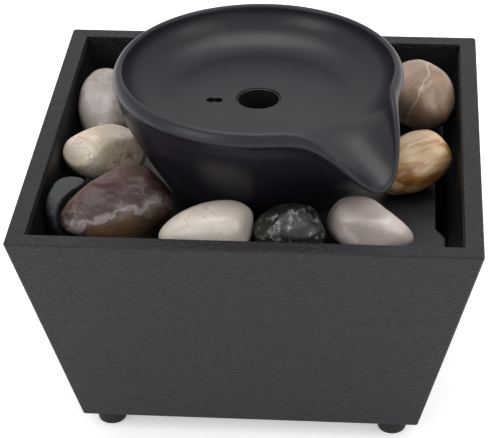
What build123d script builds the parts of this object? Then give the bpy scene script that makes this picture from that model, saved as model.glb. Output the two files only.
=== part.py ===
"""Tabletop water fountain: a tapered square casing with a reservoir and a pump inside, a rock tray with
pebbles, and a bowl with a pouring spout on top.

Millimetres. The origin is at the middle of the base, on the plane that the feet stand on.
+X is to the right, -Y is to the front and +Z is up.
"""
import math
import os

from build123d import *

# Casing
FOOT_HEIGHT = 10.0
FOOT_RADIUS = 6.8
FOOT_INSET = 12.2
BASE_WIDTH = 158.5
TOP_WIDTH = 210.0
CASING_HEIGHT = 111.3
RIM_WIDTH = 8.56
RIM_THICKNESS = 2.6
CASING_WALL = 2.6
BASIN_WALL = 2.2
BASE_THICKNESS = 3.0
BASIN_GAP = 4.0
CORNER_RADIUS = 1.4

RIM_Z = FOOT_HEIGHT + CASING_HEIGHT
FLANGE_Z = RIM_Z - RIM_THICKNESS
TAPER = (TOP_WIDTH - BASE_WIDTH) / 2 / CASING_HEIGHT
WALL_TILT = math.atan(TAPER)
BASE_TOP_Z = FOOT_HEIGHT + BASE_THICKNESS
BASIN_BOTTOM_Z = BASE_TOP_Z + BASIN_GAP
BASIN_FLOOR_Z = BASIN_BOTTOM_Z + BASIN_WALL
FOOT_PLACE = BASE_WIDTH / 2 - FOOT_INSET

STUD_RADIUS = 3.0
SCREW_PLACE = 48.0
SCREW_RADIUS = 1.5
SCREW_HEAD_RADIUS = 3.0
SCREW_HEAD_HEIGHT = 1.8
SCREW_POST_RADIUS = 4.5

# Cord grommet, and the notch in the basin's rear edge that the pump's lead passes through
CORD_BORE_RADIUS = 3.1
GROMMET_WAIST_HALF = 5.0
GROMMET_FLANGE_RADIUS = 7.0
GROMMET_FLANGE = 1.2
GROMMET_X = 48.0
GROMMET_Z = 18.2
LEAD_NOTCH_X = 22.0
LEAD_NOTCH_WIDTH = 9.0
LEAD_NOTCH_DEPTH = 6.0

# Rock tray
TRAY_TOP_Z = 94.3
TRAY_THICKNESS = 2.4
TRAY_HALF = 89.3
TRAY_NOTCH_DEPTH = 4.4
TRAY_NOTCH_HALF_LENGTH = 38.0
TRAY_NOTCH_BLEND = 9.0
TRAY_HOLE_RADIUS = 9.5
TRAY_GUIDE_RADIUS = 12.5
TRAY_GUIDE_HEIGHT = 8.0
LEDGE_SIZE = 22.0
LEDGE_HEIGHT = 8.0
REST_GAP = 0.2

# Bowl
DISH_Z = 139.9
DISH_FLOOR_RADIUS = 42.0
DISH_THICKNESS = 3.2
LIP_INNER_RADIUS = 62.5
LIP_CREST_RADIUS = 65.0
LIP_OUTER_RADIUS = 68.3
LIP_CREST_Z = 157.35
LIP_INNER_Z = LIP_CREST_Z - 1.05
COLLAR_RADIUS = 13.0
COLLAR_BOTTOM_Z = 112.0
OUTLET_RADIUS = 10.4
SLOT_X = -20.5
SLOT_Y = -3.2
SLOT_SPREAD = 1.55
SLOT_WIDTH = 3.4
SLOT_LENGTH = 5.2
BOWL_FOOT_Z = TRAY_TOP_Z + REST_GAP
BOWL_FOOT_RADIUS = 42.0
SPOUT_ANGLE = -46.1
SPOUT_REACH = 19.8
SPOUT_DROP = 28.0
SPOUT_REACH_SPREAD = 44.1
SPOUT_DROP_SPREAD = 37.0
SPOUT_REACH_POWER = 2.29
SPOUT_DROP_POWER = 2.85
SPOUT_THINNING = 0.72
SPOUT_SECTIONS = 11

# Outlet sleeve and riser tube
SLEEVE_CLEARANCE = 0.05
SLEEVE_BORE = 9.6
SLEEVE_RECESS = 0.6
SLEEVE_BOTTOM_Z = 106.0
SLEEVE_STEP_Z = 122.0
SLEEVE_FLANGE_RADIUS = 12.4
SLEEVE_FLANGE = 1.6
RISER_RADIUS = 8.0
RISER_BORE = 6.3
RISER_BOTTOM_Z = 62.5
RISER_TOP_Z = 121.0

# Pump
CUP_HEIGHT = 4.0
CUP_RADIUS = 6.5
CUP_STUD_RADIUS = 1.6
CUP_STUD_HEIGHT = 2.0
PUMP_HALF_WIDTH = 21.0
PUMP_HEIGHT = 38.0
PUMP_BOTTOM_Z = BASIN_FLOOR_Z + CUP_HEIGHT
PUMP_TOP_Z = PUMP_BOTTOM_Z + PUMP_HEIGHT
PUMP_WALL = 2.0
HOUSING_FRONT_Y = 10.0
HOUSING_BACK_Y = 52.0
COVER_FRONT_Y = -24.0
AXIS_Z = PUMP_BOTTOM_Z + 23.0
WELL_RADIUS = 7.2
WELL_WALL = 2.0
WELL_END_Y = 40.0
CAVITY_FRONT_Y = 16.0
PLUG_THICKNESS = 4.5
VOLUTE_RADIUS = 12.0
VOLUTE_BORE = 10.4
VOLUTE_FRONT_Y = -8.0
NOZZLE_BORE = 4.6
NOZZLE_TOP_Z = PUMP_TOP_Z + 11.0
SHAFT_RADIUS = 1.5
ROTOR_CLEARANCE = 0.05
MAGNET_RADIUS = 6.5
IMPELLER_RADIUS = 9.2
BLADE_COUNT = 6
DIAL_RADIUS = 9.0
DIAL_THICKNESS = 3.0
DIAL_STEM_RADIUS = 2.45

# Rounded pebbles: middle in plan, half sizes along their own axes, and in degrees the turn about +Z, the
# roll about the long axis and the pitch of the long axis.
PEBBLES = {
    "pebble_back_left": dict(at=(-79.0, 40.5), half=(25.5, 14.0, 14.3), turn=100, roll=-6, pitch=-14),
    "pebble_left_cream": dict(at=(-73.8, -1.0), half=(22.0, 14.0, 13.4), turn=30, roll=8, pitch=14),
    "pebble_front_cream": dict(at=(-19.5, -65.5), half=(21.8, 14.2, 12.4), turn=10, roll=-8, pitch=-8),
    "pebble_black_marble": dict(at=(18.6, -64.6), half=(16.6, 13.6, 12.6), turn=10, roll=-8, pitch=0),
    "pebble_white_quartz": dict(at=(54.5, -57.0), half=(21.0, 13.0, 11.8), turn=-22, roll=-8, pitch=5),
    "pebble_amber_agate": dict(at=(72.4, -3.0), half=(21.8, 14.2, 13.6), turn=32, roll=4, pitch=-14),
    "pebble_tan_agate": dict(at=(76.4, 60.0), half=(27.0, 16.0, 16.5), turn=-70, roll=-12, pitch=-11),
}

# Broken, flat-sided pebbles: corner points in plan at each height, from the tray up.
ANGULAR_PEBBLES = {
    "pebble_black_slate": {
        95.0: [(-85.5, -68), (-80, -69), (-76, -58), (-77, -47),
               (-83, -43.5), (-87.5, -48), (-89, -58)],
        103.0: [(-87.5, -70), (-84.6, -71), (-80, -60), (-79, -46),
               (-84.5, -42), (-89.5, -47), (-90.8, -59)],
        110.0: [(-89.7, -69.5), (-87.8, -70.5), (-84.4, -59), (-80.5, -44.5),
               (-85, -41), (-90.8, -46), (-92.2, -58)],
        115.0: [(-90.7, -66.5), (-88.8, -67.5), (-84.4, -57), (-79, -43.5),
               (-84, -40.5), (-91, -45), (-92.8, -57)],
        119.0: [(-89.5, -60), (-86.5, -61), (-82.5, -54), (-78.5, -43.5),
               (-83, -41), (-89.5, -45), (-91, -53)],
    },
    "pebble_red_jasper": {
        95.0: [(-64, -62), (-57, -65), (-49, -61), (-43, -54), (-41, -49), (-53, -46), (-63, -53)],
        103.0: [(-73, -69), (-63, -71), (-52, -64), (-41, -55.5), (-38, -47), (-54, -41), (-69, -52)],
        112.0: [(-81.5, -75), (-68, -75), (-52, -66), (-38.5, -56), (-36, -48.5), (-54, -38.5), (-77.5, -53)],
        120.0: [(-78, -66), (-66, -66), (-53, -60), (-41, -52), (-42, -44.5), (-57, -36.8), (-72.5, -49)],
        126.0: [(-70, -58), (-62, -57), (-54, -52), (-47, -47.5), (-47.5, -43.5), (-56, -41), (-66, -49)],
    },
}


def save(piece, name):
    """Label a finished piece and write it as its own STEP file."""
    piece.part.label = name
    export_step(piece.part, "parts/" + name + ".step")


def half_outside(z):
    """Half the casing's outer width at a height."""
    return BASE_WIDTH / 2 + TAPER * (z - FOOT_HEIGHT)


def half_inside(z):
    """Half the reservoir's inner width at a height."""
    return half_outside(z) - RIM_WIDTH


def tapered_square(low_z, high_z, half_high, mode=Mode.ADD):
    """Add a square that tapers downwards like the casing, in the part that is being built."""
    with BuildSketch(Plane.XY.offset(high_z)) as top_face:
        Rectangle(2 * half_high, 2 * half_high)
    extrude(top_face.sketch, amount=low_z - high_z, taper=math.degrees(WALL_TILT), mode=mode)


def corner_edges(piece):
    """The four slanted corner edges of a tapered square."""
    return [edge for edge in piece.edges() if edge.length > CASING_HEIGHT / 2 and abs((edge % 0).Z) > 0.5]


def disc(plane, radius, thickness, mode=Mode.ADD):
    """Extrude a circle along a plane's normal, in the part that is being built."""
    with BuildSketch(plane) as round_face:
        Circle(radius)
    extrude(round_face.sketch, amount=thickness, mode=mode)


def block(x, y, z, mode=Mode.ADD):
    """Add a box between pairs of x, y and z limits, in the part that is being built."""
    with BuildSketch(Plane.XY.offset(z[0])) as foot_print:
        with Locations(((x[0] + x[1]) / 2, (y[0] + y[1]) / 2)):
            Rectangle(x[1] - x[0], y[1] - y[0])
    extrude(foot_print.sketch, amount=z[1] - z[0], mode=mode)


def facing_back(y, z=AXIS_Z):
    """A plane across the pump's axis, with its normal to the back."""
    return Plane(origin=(0, y, z), x_dir=(-1, 0, 0), z_dir=(0, 1, 0))


def corner_places(reach):
    """The four corners of a centred square."""
    return [(sx * reach, sy * reach) for sx in (-1, 1) for sy in (-1, 1)]


cord_plane = Plane(origin=(GROMMET_X, half_outside(GROMMET_Z), GROMMET_Z), x_dir=(1, 0, 0),
                   z_dir=(0, math.cos(WALL_TILT), -math.sin(WALL_TILT)))

# Outer casing: a tapered shell with a flat rim turned inwards.
with BuildPart() as outer_casing:
    tapered_square(FOOT_HEIGHT, RIM_Z, half_outside(RIM_Z))
    fillet(corner_edges(outer_casing), CORNER_RADIUS)
    tapered_square(FOOT_HEIGHT, FLANGE_Z, half_outside(FLANGE_Z) - CASING_WALL, Mode.SUBTRACT)
    tapered_square(FLANGE_Z - 1, RIM_Z, half_inside(RIM_Z), Mode.SUBTRACT)
    with BuildSketch(cord_plane.offset(-2 * CASING_WALL)):
        with Locations((0, (GROMMET_Z - GROMMET_WAIST_HALF) / 2)):
            Rectangle(2 * GROMMET_WAIST_HALF, GROMMET_Z + GROMMET_WAIST_HALF)
    extrude(amount=3 * CASING_WALL, mode=Mode.SUBTRACT)
save(outer_casing, "outer_casing")

# Reservoir basin: an open tub that hangs under the rim, with ledges for the tray and screw posts below.
with BuildPart() as reservoir_basin:
    tapered_square(BASIN_BOTTOM_Z, FLANGE_Z, half_inside(FLANGE_Z) + BASIN_WALL)
    fillet(corner_edges(reservoir_basin), CORNER_RADIUS)
    tapered_square(BASIN_FLOOR_Z, FLANGE_Z, half_inside(FLANGE_Z), Mode.SUBTRACT)
    ledge_top = TRAY_TOP_Z - TRAY_THICKNESS - REST_GAP
    ledge_reach = half_inside(ledge_top - LEDGE_HEIGHT) + BASIN_WALL / 2
    for corner_x, corner_y in corner_places(ledge_reach):
        inner_x = corner_x - math.copysign(LEDGE_SIZE, corner_x)
        inner_y = corner_y - math.copysign(LEDGE_SIZE, corner_y)
        with BuildSketch(Plane.XY.offset(ledge_top)):
            with BuildLine():
                Polyline((corner_x, corner_y), (inner_x, corner_y), (corner_x, inner_y), close=True)
            make_face()
        extrude(amount=-LEDGE_HEIGHT)
    for place in corner_places(SCREW_PLACE):
        with BuildSketch(Plane.XY.offset(BASE_TOP_Z)):
            with Locations(place):
                Circle(SCREW_POST_RADIUS)
                Circle(SCREW_RADIUS, mode=Mode.SUBTRACT)
        extrude(amount=BASIN_GAP)
    block((LEAD_NOTCH_X - LEAD_NOTCH_WIDTH / 2, LEAD_NOTCH_X + LEAD_NOTCH_WIDTH / 2),
          (half_inside(0), TOP_WIDTH), (FLANGE_Z - LEAD_NOTCH_DEPTH, FLANGE_Z), Mode.SUBTRACT)
save(reservoir_basin, "reservoir_basin")

# Base plate, with holes for the feet's studs and counterbored holes for the screws.
with BuildPart() as base_plate:
    with BuildSketch(Plane.XY.offset(FOOT_HEIGHT)):
        plate_width = BASE_WIDTH - 2 * CASING_WALL
        Rectangle(plate_width, plate_width)
        with Locations(corner_places(FOOT_PLACE)):
            Circle(STUD_RADIUS, mode=Mode.SUBTRACT)
        with Locations(corner_places(SCREW_PLACE)):
            Circle(SCREW_RADIUS, mode=Mode.SUBTRACT)
    extrude(amount=BASE_THICKNESS)
    with BuildSketch(Plane.XY.offset(FOOT_HEIGHT)):
        with Locations(corner_places(SCREW_PLACE)):
            Circle(SCREW_HEAD_RADIUS)
    extrude(amount=SCREW_HEAD_HEIGHT, mode=Mode.SUBTRACT)
save(base_plate, "base_plate")

# Screws that hold the base plate to the basin's posts.
with BuildPart() as base_screws:
    with BuildSketch(Plane.XY.offset(FOOT_HEIGHT)):
        with Locations(corner_places(SCREW_PLACE)):
            Circle(SCREW_HEAD_RADIUS)
    extrude(amount=SCREW_HEAD_HEIGHT)
    with BuildSketch(Plane.XY.offset(FOOT_HEIGHT + SCREW_HEAD_HEIGHT)):
        with Locations(corner_places(SCREW_PLACE)):
            Circle(SCREW_RADIUS)
    extrude(amount=BASIN_BOTTOM_Z - FOOT_HEIGHT - SCREW_HEAD_HEIGHT)
save(base_screws, "base_screws")

# Rubber feet with studs pressed into the base plate.
for foot_name, foot_x, foot_y in (("foot_front_left", -1, -1), ("foot_front_right", 1, -1),
                                  ("foot_back_left", -1, 1), ("foot_back_right", 1, 1)):
    foot_plane = Plane(origin=(foot_x * FOOT_PLACE, foot_y * FOOT_PLACE, 0))
    with BuildPart() as foot:
        disc(foot_plane, FOOT_RADIUS, FOOT_HEIGHT)
        fillet(foot.edges().group_by(Axis.Z)[0], 1.2)
        disc(foot_plane.offset(FOOT_HEIGHT), STUD_RADIUS, BASE_THICKNESS)
    save(foot, foot_name)

# Cord grommet, held in a notch in the casing's rear wall above the base plate.
wall_depth = CASING_WALL * math.cos(WALL_TILT)
with BuildPart() as cord_grommet:
    disc(cord_plane, GROMMET_FLANGE_RADIUS, GROMMET_FLANGE)
    with BuildSketch(cord_plane):
        Rectangle(2 * GROMMET_WAIST_HALF, 2 * GROMMET_WAIST_HALF)
    extrude(amount=-wall_depth - GROMMET_FLANGE)
    disc(cord_plane.offset(-2 * wall_depth - GROMMET_FLANGE), CORD_BORE_RADIUS,
         3 * wall_depth + 2 * GROMMET_FLANGE, Mode.SUBTRACT)
save(cord_grommet, "cord_grommet")

# Pump housing: the motor's box, with a blind well for the rotor.
pump_height_range = (PUMP_BOTTOM_Z, PUMP_TOP_Z)
cavity_x = (PUMP_WALL - PUMP_HALF_WIDTH, PUMP_HALF_WIDTH - PUMP_WALL)
cavity_z = (PUMP_BOTTOM_Z + PUMP_WALL, PUMP_TOP_Z - PUMP_WALL)
cup_places = [(-14, -16), (14, -16), (-14, 42), (14, 42)]
with BuildPart() as pump_housing:
    block((-PUMP_HALF_WIDTH, PUMP_HALF_WIDTH), (HOUSING_FRONT_Y, HOUSING_BACK_Y), pump_height_range)
    fillet(pump_housing.edges().filter_by(Axis.Y), 2.0)
    block(cavity_x, (CAVITY_FRONT_Y, HOUSING_BACK_Y), cavity_z, Mode.SUBTRACT)
    disc(facing_back(CAVITY_FRONT_Y - 1), WELL_RADIUS + WELL_WALL, WELL_END_Y - CAVITY_FRONT_Y + 4)
    disc(facing_back(HOUSING_FRONT_Y), WELL_RADIUS, WELL_END_Y - HOUSING_FRONT_Y, Mode.SUBTRACT)
    disc(facing_back(WELL_END_Y), 2 * SHAFT_RADIUS, 1, Mode.SUBTRACT)
    for place in cup_places[2:]:
        disc(Plane(origin=(*place, PUMP_BOTTOM_Z)), CUP_STUD_RADIUS, CUP_STUD_HEIGHT, Mode.SUBTRACT)
save(pump_housing, "pump_housing")

# Stator core: a U of laminations around the rotor well.
CORE_INNER = 9.6
CORE_OUTER = 14.6
CORE_Y = (22.0, 38.0)
YOKE_Z = (PUMP_BOTTOM_Z + 4.0, PUMP_BOTTOM_Z + 9.0)
with BuildPart() as stator_core:
    block((-CORE_OUTER, CORE_OUTER), CORE_Y, YOKE_Z)
    for side in (-1, 1):
        leg_x = sorted((side * CORE_INNER, side * CORE_OUTER))
        block(leg_x, CORE_Y, (YOKE_Z[0], AXIS_Z + 9))
save(stator_core, "stator_core")

# Stator coil, wound round the yoke.
COIL_BUILD = 2.0
with BuildPart() as stator_coil:
    block((1 - CORE_INNER, CORE_INNER - 1), (CORE_Y[0] - COIL_BUILD, CORE_Y[1] + COIL_BUILD),
          (YOKE_Z[0] - COIL_BUILD + 0.2, YOKE_Z[1] + COIL_BUILD))
    fillet(stator_coil.edges().filter_by(Axis.X), 1.5)
    block((-CORE_INNER, CORE_INNER), CORE_Y, YOKE_Z, Mode.SUBTRACT)
save(stator_coil, "stator_coil")

# Resin plug that closes the motor's cavity.
with BuildPart() as potting_plug:
    block(cavity_x, (HOUSING_BACK_Y - PLUG_THICKNESS, HOUSING_BACK_Y), cavity_z)
save(potting_plug, "potting_plug")

# Impeller cover: the volute, with intake holes in front and the outlet nozzle on top.
VOLUTE_WALL = 2.0
with BuildPart() as impeller_cover:
    disc(facing_back(VOLUTE_FRONT_Y), VOLUTE_RADIUS, HOUSING_FRONT_Y - VOLUTE_FRONT_Y)
    disc(Plane.XY.offset(AXIS_Z), RISER_BORE, NOZZLE_TOP_Z - AXIS_Z)
    disc(facing_back(VOLUTE_FRONT_Y + VOLUTE_WALL), VOLUTE_BORE,
         HOUSING_FRONT_Y - VOLUTE_FRONT_Y - VOLUTE_WALL, Mode.SUBTRACT)
    disc(Plane.XY.offset(AXIS_Z), NOZZLE_BORE, NOZZLE_TOP_Z - AXIS_Z, Mode.SUBTRACT)
    with BuildSketch(facing_back(VOLUTE_FRONT_Y)):
        Circle(2.5)
        with PolarLocations(6.4, 6):
            Circle(1.9)
    extrude(amount=VOLUTE_WALL, mode=Mode.SUBTRACT)
save(impeller_cover, "impeller_cover")

# Intake cover: a slotted hood over the volute.
with BuildPart() as intake_cover:
    block((-PUMP_HALF_WIDTH, PUMP_HALF_WIDTH), (COVER_FRONT_Y, HOUSING_FRONT_Y), pump_height_range)
    fillet(intake_cover.edges().filter_by(Axis.Y), 2.0)
    block(cavity_x, (COVER_FRONT_Y + PUMP_WALL, HOUSING_FRONT_Y), cavity_z, Mode.SUBTRACT)
    disc(Plane.XY.offset(AXIS_Z), RISER_BORE + 0.3, PUMP_HEIGHT, Mode.SUBTRACT)
    disc(facing_back(COVER_FRONT_Y), DIAL_STEM_RADIUS + 0.05, PUMP_WALL, Mode.SUBTRACT)
    for slot_x in (-16, -12, 12, 16):
        block((slot_x - 0.9, slot_x + 0.9), (COVER_FRONT_Y, COVER_FRONT_Y + PUMP_WALL),
              (PUMP_BOTTOM_Z + 5, PUMP_TOP_Z - 5), Mode.SUBTRACT)
    for slot_y in (-17, -12, -7, -2):
        block((-PUMP_HALF_WIDTH, PUMP_HALF_WIDTH), (slot_y - 0.9, slot_y + 0.9),
              (PUMP_BOTTOM_Z + 5, PUMP_TOP_Z - 5), Mode.SUBTRACT)
    for place in cup_places[:2]:
        disc(Plane(origin=(*place, PUMP_BOTTOM_Z)), CUP_STUD_RADIUS, CUP_STUD_HEIGHT, Mode.SUBTRACT)
save(intake_cover, "intake_cover")

# Suction cups that hold the pump to the reservoir's floor.
with BuildPart() as suction_cups:
    for place in cup_places:
        with BuildSketch(Plane(origin=(*place, BASIN_FLOOR_Z), x_dir=(1, 0, 0), z_dir=(0, -1, 0))):
            with BuildLine():
                Polyline((0, 0.8), (CUP_RADIUS - 1.2, 0), (CUP_RADIUS, 0), (CUP_RADIUS - 1.5, 1.6),
                         (2.6, 2.6), (2.6, CUP_HEIGHT), (CUP_STUD_RADIUS, CUP_HEIGHT),
                         (CUP_STUD_RADIUS, CUP_HEIGHT + CUP_STUD_HEIGHT), (0, CUP_HEIGHT + CUP_STUD_HEIGHT),
                         close=True)
            make_face()
        revolve(axis=Axis((*place, 0), (0, 0, 1)))
save(suction_cups, "suction_cups")

# Rotor shaft and the bushes at its ends.
SHAFT_Y = (VOLUTE_FRONT_Y - 0.5, WELL_END_Y + 1)
with BuildPart() as rotor_shaft:
    disc(facing_back(SHAFT_Y[0]), SHAFT_RADIUS, SHAFT_Y[1] - SHAFT_Y[0])
save(rotor_shaft, "rotor_shaft")

with BuildPart() as front_bush:
    disc(facing_back(VOLUTE_FRONT_Y - 0.5), 2.5, VOLUTE_WALL + 1)
    disc(facing_back(VOLUTE_FRONT_Y - 0.5), SHAFT_RADIUS, VOLUTE_WALL + 1, Mode.SUBTRACT)
save(front_bush, "front_bush")

with BuildPart() as rear_bush:
    disc(facing_back(WELL_END_Y - 1.2), 2 * SHAFT_RADIUS, 2.2)
    disc(facing_back(WELL_END_Y - 1.2), SHAFT_RADIUS, 2.2, Mode.SUBTRACT)
save(rear_bush, "rear_bush")

# Rotor: the magnet in the well and the impeller in the volute.
ROTOR_BORE = SHAFT_RADIUS + ROTOR_CLEARANCE
MAGNET_Y = (10.5, 38.0)
IMPELLER_Y = (-4.0, MAGNET_Y[0])
BLADE_LENGTH = 9.5
with BuildPart() as rotor_magnet:
    disc(facing_back(MAGNET_Y[0]), MAGNET_RADIUS, MAGNET_Y[1] - MAGNET_Y[0])
    disc(facing_back(MAGNET_Y[0]), ROTOR_BORE, MAGNET_Y[1] - MAGNET_Y[0], Mode.SUBTRACT)
save(rotor_magnet, "rotor_magnet")

with BuildPart() as impeller:
    disc(facing_back(IMPELLER_Y[0]), 3.4, IMPELLER_Y[1] - IMPELLER_Y[0])
    with BuildSketch(facing_back(IMPELLER_Y[0])):
        with PolarLocations(0, BLADE_COUNT):
            with Locations((IMPELLER_RADIUS / 2, 0)):
                Rectangle(IMPELLER_RADIUS, 1.2)
    extrude(amount=BLADE_LENGTH)
    disc(facing_back(IMPELLER_Y[0]), ROTOR_BORE, IMPELLER_Y[1] - IMPELLER_Y[0], Mode.SUBTRACT)
save(impeller, "impeller")

# Flow dial: a knob in front of the intake cover, held by a collar behind its wall.
DIAL_GAP = 0.4
with BuildPart() as flow_dial:
    disc(facing_back(COVER_FRONT_Y - DIAL_GAP - DIAL_THICKNESS), DIAL_RADIUS, DIAL_THICKNESS)
    chamfer(flow_dial.faces().sort_by(Axis.Y)[0].edges(), 0.6)
    disc(facing_back(COVER_FRONT_Y - DIAL_GAP), DIAL_STEM_RADIUS, PUMP_WALL + 2 * DIAL_GAP)
    disc(facing_back(COVER_FRONT_Y + PUMP_WALL + DIAL_GAP), DIAL_STEM_RADIUS + 1, 1.5)
    block((-1.2, 1.2), (COVER_FRONT_Y - DIAL_GAP - DIAL_THICKNESS - 2.5, COVER_FRONT_Y - DIAL_GAP - 1),
          (AXIS_Z - DIAL_RADIUS + 1.5, AXIS_Z + DIAL_RADIUS - 1.5))
save(flow_dial, "flow_dial")

# Riser tube, pushed over the nozzle.
with BuildPart() as riser_tube:
    disc(Plane.XY.offset(RISER_BOTTOM_Z + 1), RISER_RADIUS, RISER_TOP_Z - RISER_BOTTOM_Z - 1)
    disc(Plane.XY.offset(RISER_BOTTOM_Z), RISER_BORE, RISER_TOP_Z - RISER_BOTTOM_Z, Mode.SUBTRACT)
save(riser_tube, "riser_tube")

# Rock tray: a flat deck with a shallow drain notch along each side and a guide round the riser tube.
notch_x = TRAY_HALF - TRAY_NOTCH_DEPTH
notch_y = TRAY_NOTCH_HALF_LENGTH
notch_end = TRAY_NOTCH_HALF_LENGTH + TRAY_NOTCH_BLEND
with BuildPart() as rock_tray:
    with BuildSketch(Plane.XY.offset(TRAY_TOP_Z - TRAY_THICKNESS)):
        RectangleRounded(2 * TRAY_HALF, 2 * TRAY_HALF, 2.0)
        for side in (-1, 1):
            with BuildLine():
                Spline((side * TRAY_HALF, -notch_end), (side * notch_x, -notch_y), tangents=((0, 1), (0, 1)))
                Line((side * notch_x, -notch_y), (side * notch_x, notch_y))
                Spline((side * notch_x, notch_y), (side * TRAY_HALF, notch_end), tangents=((0, 1), (0, 1)))
                Line((side * TRAY_HALF, notch_end), (side * TRAY_HALF, -notch_end))
            make_face(mode=Mode.SUBTRACT)
    extrude(amount=TRAY_THICKNESS)
    disc(Plane.XY.offset(TRAY_TOP_Z - TRAY_THICKNESS - TRAY_GUIDE_HEIGHT), TRAY_GUIDE_RADIUS,
         TRAY_GUIDE_HEIGHT)
    disc(Plane.XY.offset(TRAY_TOP_Z - TRAY_THICKNESS - TRAY_GUIDE_HEIGHT), TRAY_HOLE_RADIUS,
         TRAY_THICKNESS + TRAY_GUIDE_HEIGHT, Mode.SUBTRACT)
save(rock_tray, "rock_tray")

# Outlet sleeve: a rubber sleeve in the bowl's collar that slips over the riser tube and lines the hole.
# Its foot flange carries the collar, and its shoulder rests on the tube's end.
with BuildPart() as outlet_sleeve:
    disc(Plane.XY.offset(SLEEVE_BOTTOM_Z), SLEEVE_FLANGE_RADIUS, SLEEVE_FLANGE)
    disc(Plane.XY.offset(SLEEVE_BOTTOM_Z), OUTLET_RADIUS - SLEEVE_CLEARANCE,
         DISH_Z - SLEEVE_RECESS - SLEEVE_BOTTOM_Z)
    disc(Plane.XY.offset(SLEEVE_BOTTOM_Z), RISER_RADIUS + SLEEVE_CLEARANCE,
         RISER_TOP_Z + REST_GAP - SLEEVE_BOTTOM_Z, Mode.SUBTRACT)
    disc(Plane.XY.offset(SLEEVE_BOTTOM_Z), RISER_BORE, DISH_Z - SLEEVE_BOTTOM_Z, Mode.SUBTRACT)
    disc(Plane.XY.offset(SLEEVE_STEP_Z + 1.5), SLEEVE_BORE, DISH_Z - SLEEVE_STEP_Z, Mode.SUBTRACT)
save(outlet_sleeve, "outlet_sleeve")


# Bowl: a shallow dish on a rounded body. The lip swells outwards and dips at the spout.
def swell(offset, spread, power):
    """A smooth bump that is 1 at no offset and 0 from the spread outwards."""
    share = min(abs(offset) / spread, 1.0)
    return (0.5 * (1 + math.cos(math.pi * share))) ** power


def bowl_section(offset):
    """The dish, lip and body outlines, as radius and height, at an angle from the spout's middle."""
    reach = SPOUT_REACH * swell(offset, SPOUT_REACH_SPREAD, SPOUT_REACH_POWER)
    drop = SPOUT_DROP * swell(offset, SPOUT_DROP_SPREAD, SPOUT_DROP_POWER)
    thinning = 1 - SPOUT_THINNING * drop / SPOUT_DROP
    dish = []
    for angle in (0, 25, 50, 72, 90):
        out = math.sin(math.radians(angle))
        up = 1 - math.cos(math.radians(angle))
        radius = DISH_FLOOR_RADIUS + (LIP_INNER_RADIUS - DISH_FLOOR_RADIUS) * out + reach * out ** 2.3
        dish.append((radius, DISH_Z + (LIP_INNER_Z - DISH_Z) * up - drop * up ** 0.8))
    lip = [dish[-1]]
    for radius, below in ((LIP_CREST_RADIUS, 0.0), (LIP_OUTER_RADIUS - 0.8, 1.2), (LIP_OUTER_RADIUS, 3.4),
                          (LIP_OUTER_RADIUS - 0.4, 6.2)):
        lip.append((radius + reach, LIP_CREST_Z - drop - below * thinning))
    body = [lip[-1]]
    for radius, height, out_share, down_share in (
            (67.0, 146.0, 0.74, 0.80), (64.0, 136.0, 0.32, 0.52), (57.8, 123.0, 0.06, 0.26),
            (BOWL_FOOT_RADIUS, BOWL_FOOT_Z, 0.0, 0.0)):
        body.append((radius + reach * out_share, height - drop * down_share))
    return dish, lip, body


def draw_bowl_section(angle, offset):
    """Sketch the solid bowl's section in the half plane at an angle about the bowl's axis."""
    turn = math.radians(angle)
    plane = Plane(origin=(0, 0, 0), x_dir=(math.cos(turn), math.sin(turn), 0),
                  z_dir=(math.sin(turn), -math.cos(turn), 0))
    dish, lip, body = bowl_section(offset)
    with BuildSketch(plane) as section:
        with BuildLine():
            Line((COLLAR_RADIUS, BOWL_FOOT_Z), (COLLAR_RADIUS, DISH_Z))
            Line((COLLAR_RADIUS, DISH_Z), dish[0])
            Spline(*dish)
            Spline(*lip)
            Spline(*body)
            Line(body[-1], (COLLAR_RADIUS, BOWL_FOOT_Z))
        make_face()
    return section.sketch


plain_arc = 360 - 2 * SPOUT_REACH_SPREAD
with BuildPart() as bowl:
    spout_sections = []
    for step in range(SPOUT_SECTIONS):
        offset = SPOUT_REACH_SPREAD * (2 * step / (SPOUT_SECTIONS - 1) - 1)
        spout_sections.append(draw_bowl_section(SPOUT_ANGLE + offset, offset))
    loft(spout_sections)
    revolve(spout_sections[0], axis=Axis.Z, revolution_arc=-plain_arc)
    disc(Plane.XY.offset(BOWL_FOOT_Z), COLLAR_RADIUS + 1, DISH_Z - BOWL_FOOT_Z)
    with BuildSketch(Plane.XZ):
        with BuildLine():
            Polyline((0, BOWL_FOOT_Z), (BOWL_FOOT_RADIUS - 3.4, BOWL_FOOT_Z), (45.0, 106.0), (49.5, 116.0),
                     (50.5, 124.0), (49.0, 132.0), (44.0, DISH_Z - DISH_THICKNESS - 0.6),
                     (36.0, DISH_Z - DISH_THICKNESS), (COLLAR_RADIUS, DISH_Z - DISH_THICKNESS),
                     (COLLAR_RADIUS, COLLAR_BOTTOM_Z), (0, COLLAR_BOTTOM_Z), close=True)
        make_face()
    revolve(axis=Axis.Z, mode=Mode.SUBTRACT)
    disc(Plane.XY.offset(BOWL_FOOT_Z), OUTLET_RADIUS, DISH_Z - BOWL_FOOT_Z, Mode.SUBTRACT)
    with BuildSketch(Plane.XY.offset(DISH_Z)):
        for side in (-1, 1):
            with Locations((SLOT_X + side * SLOT_SPREAD, SLOT_Y)):
                SlotOverall(SLOT_LENGTH, SLOT_WIDTH, rotation=90)
    extrude(amount=-2 * DISH_THICKNESS, mode=Mode.SUBTRACT)
save(bowl, "bowl")

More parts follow.
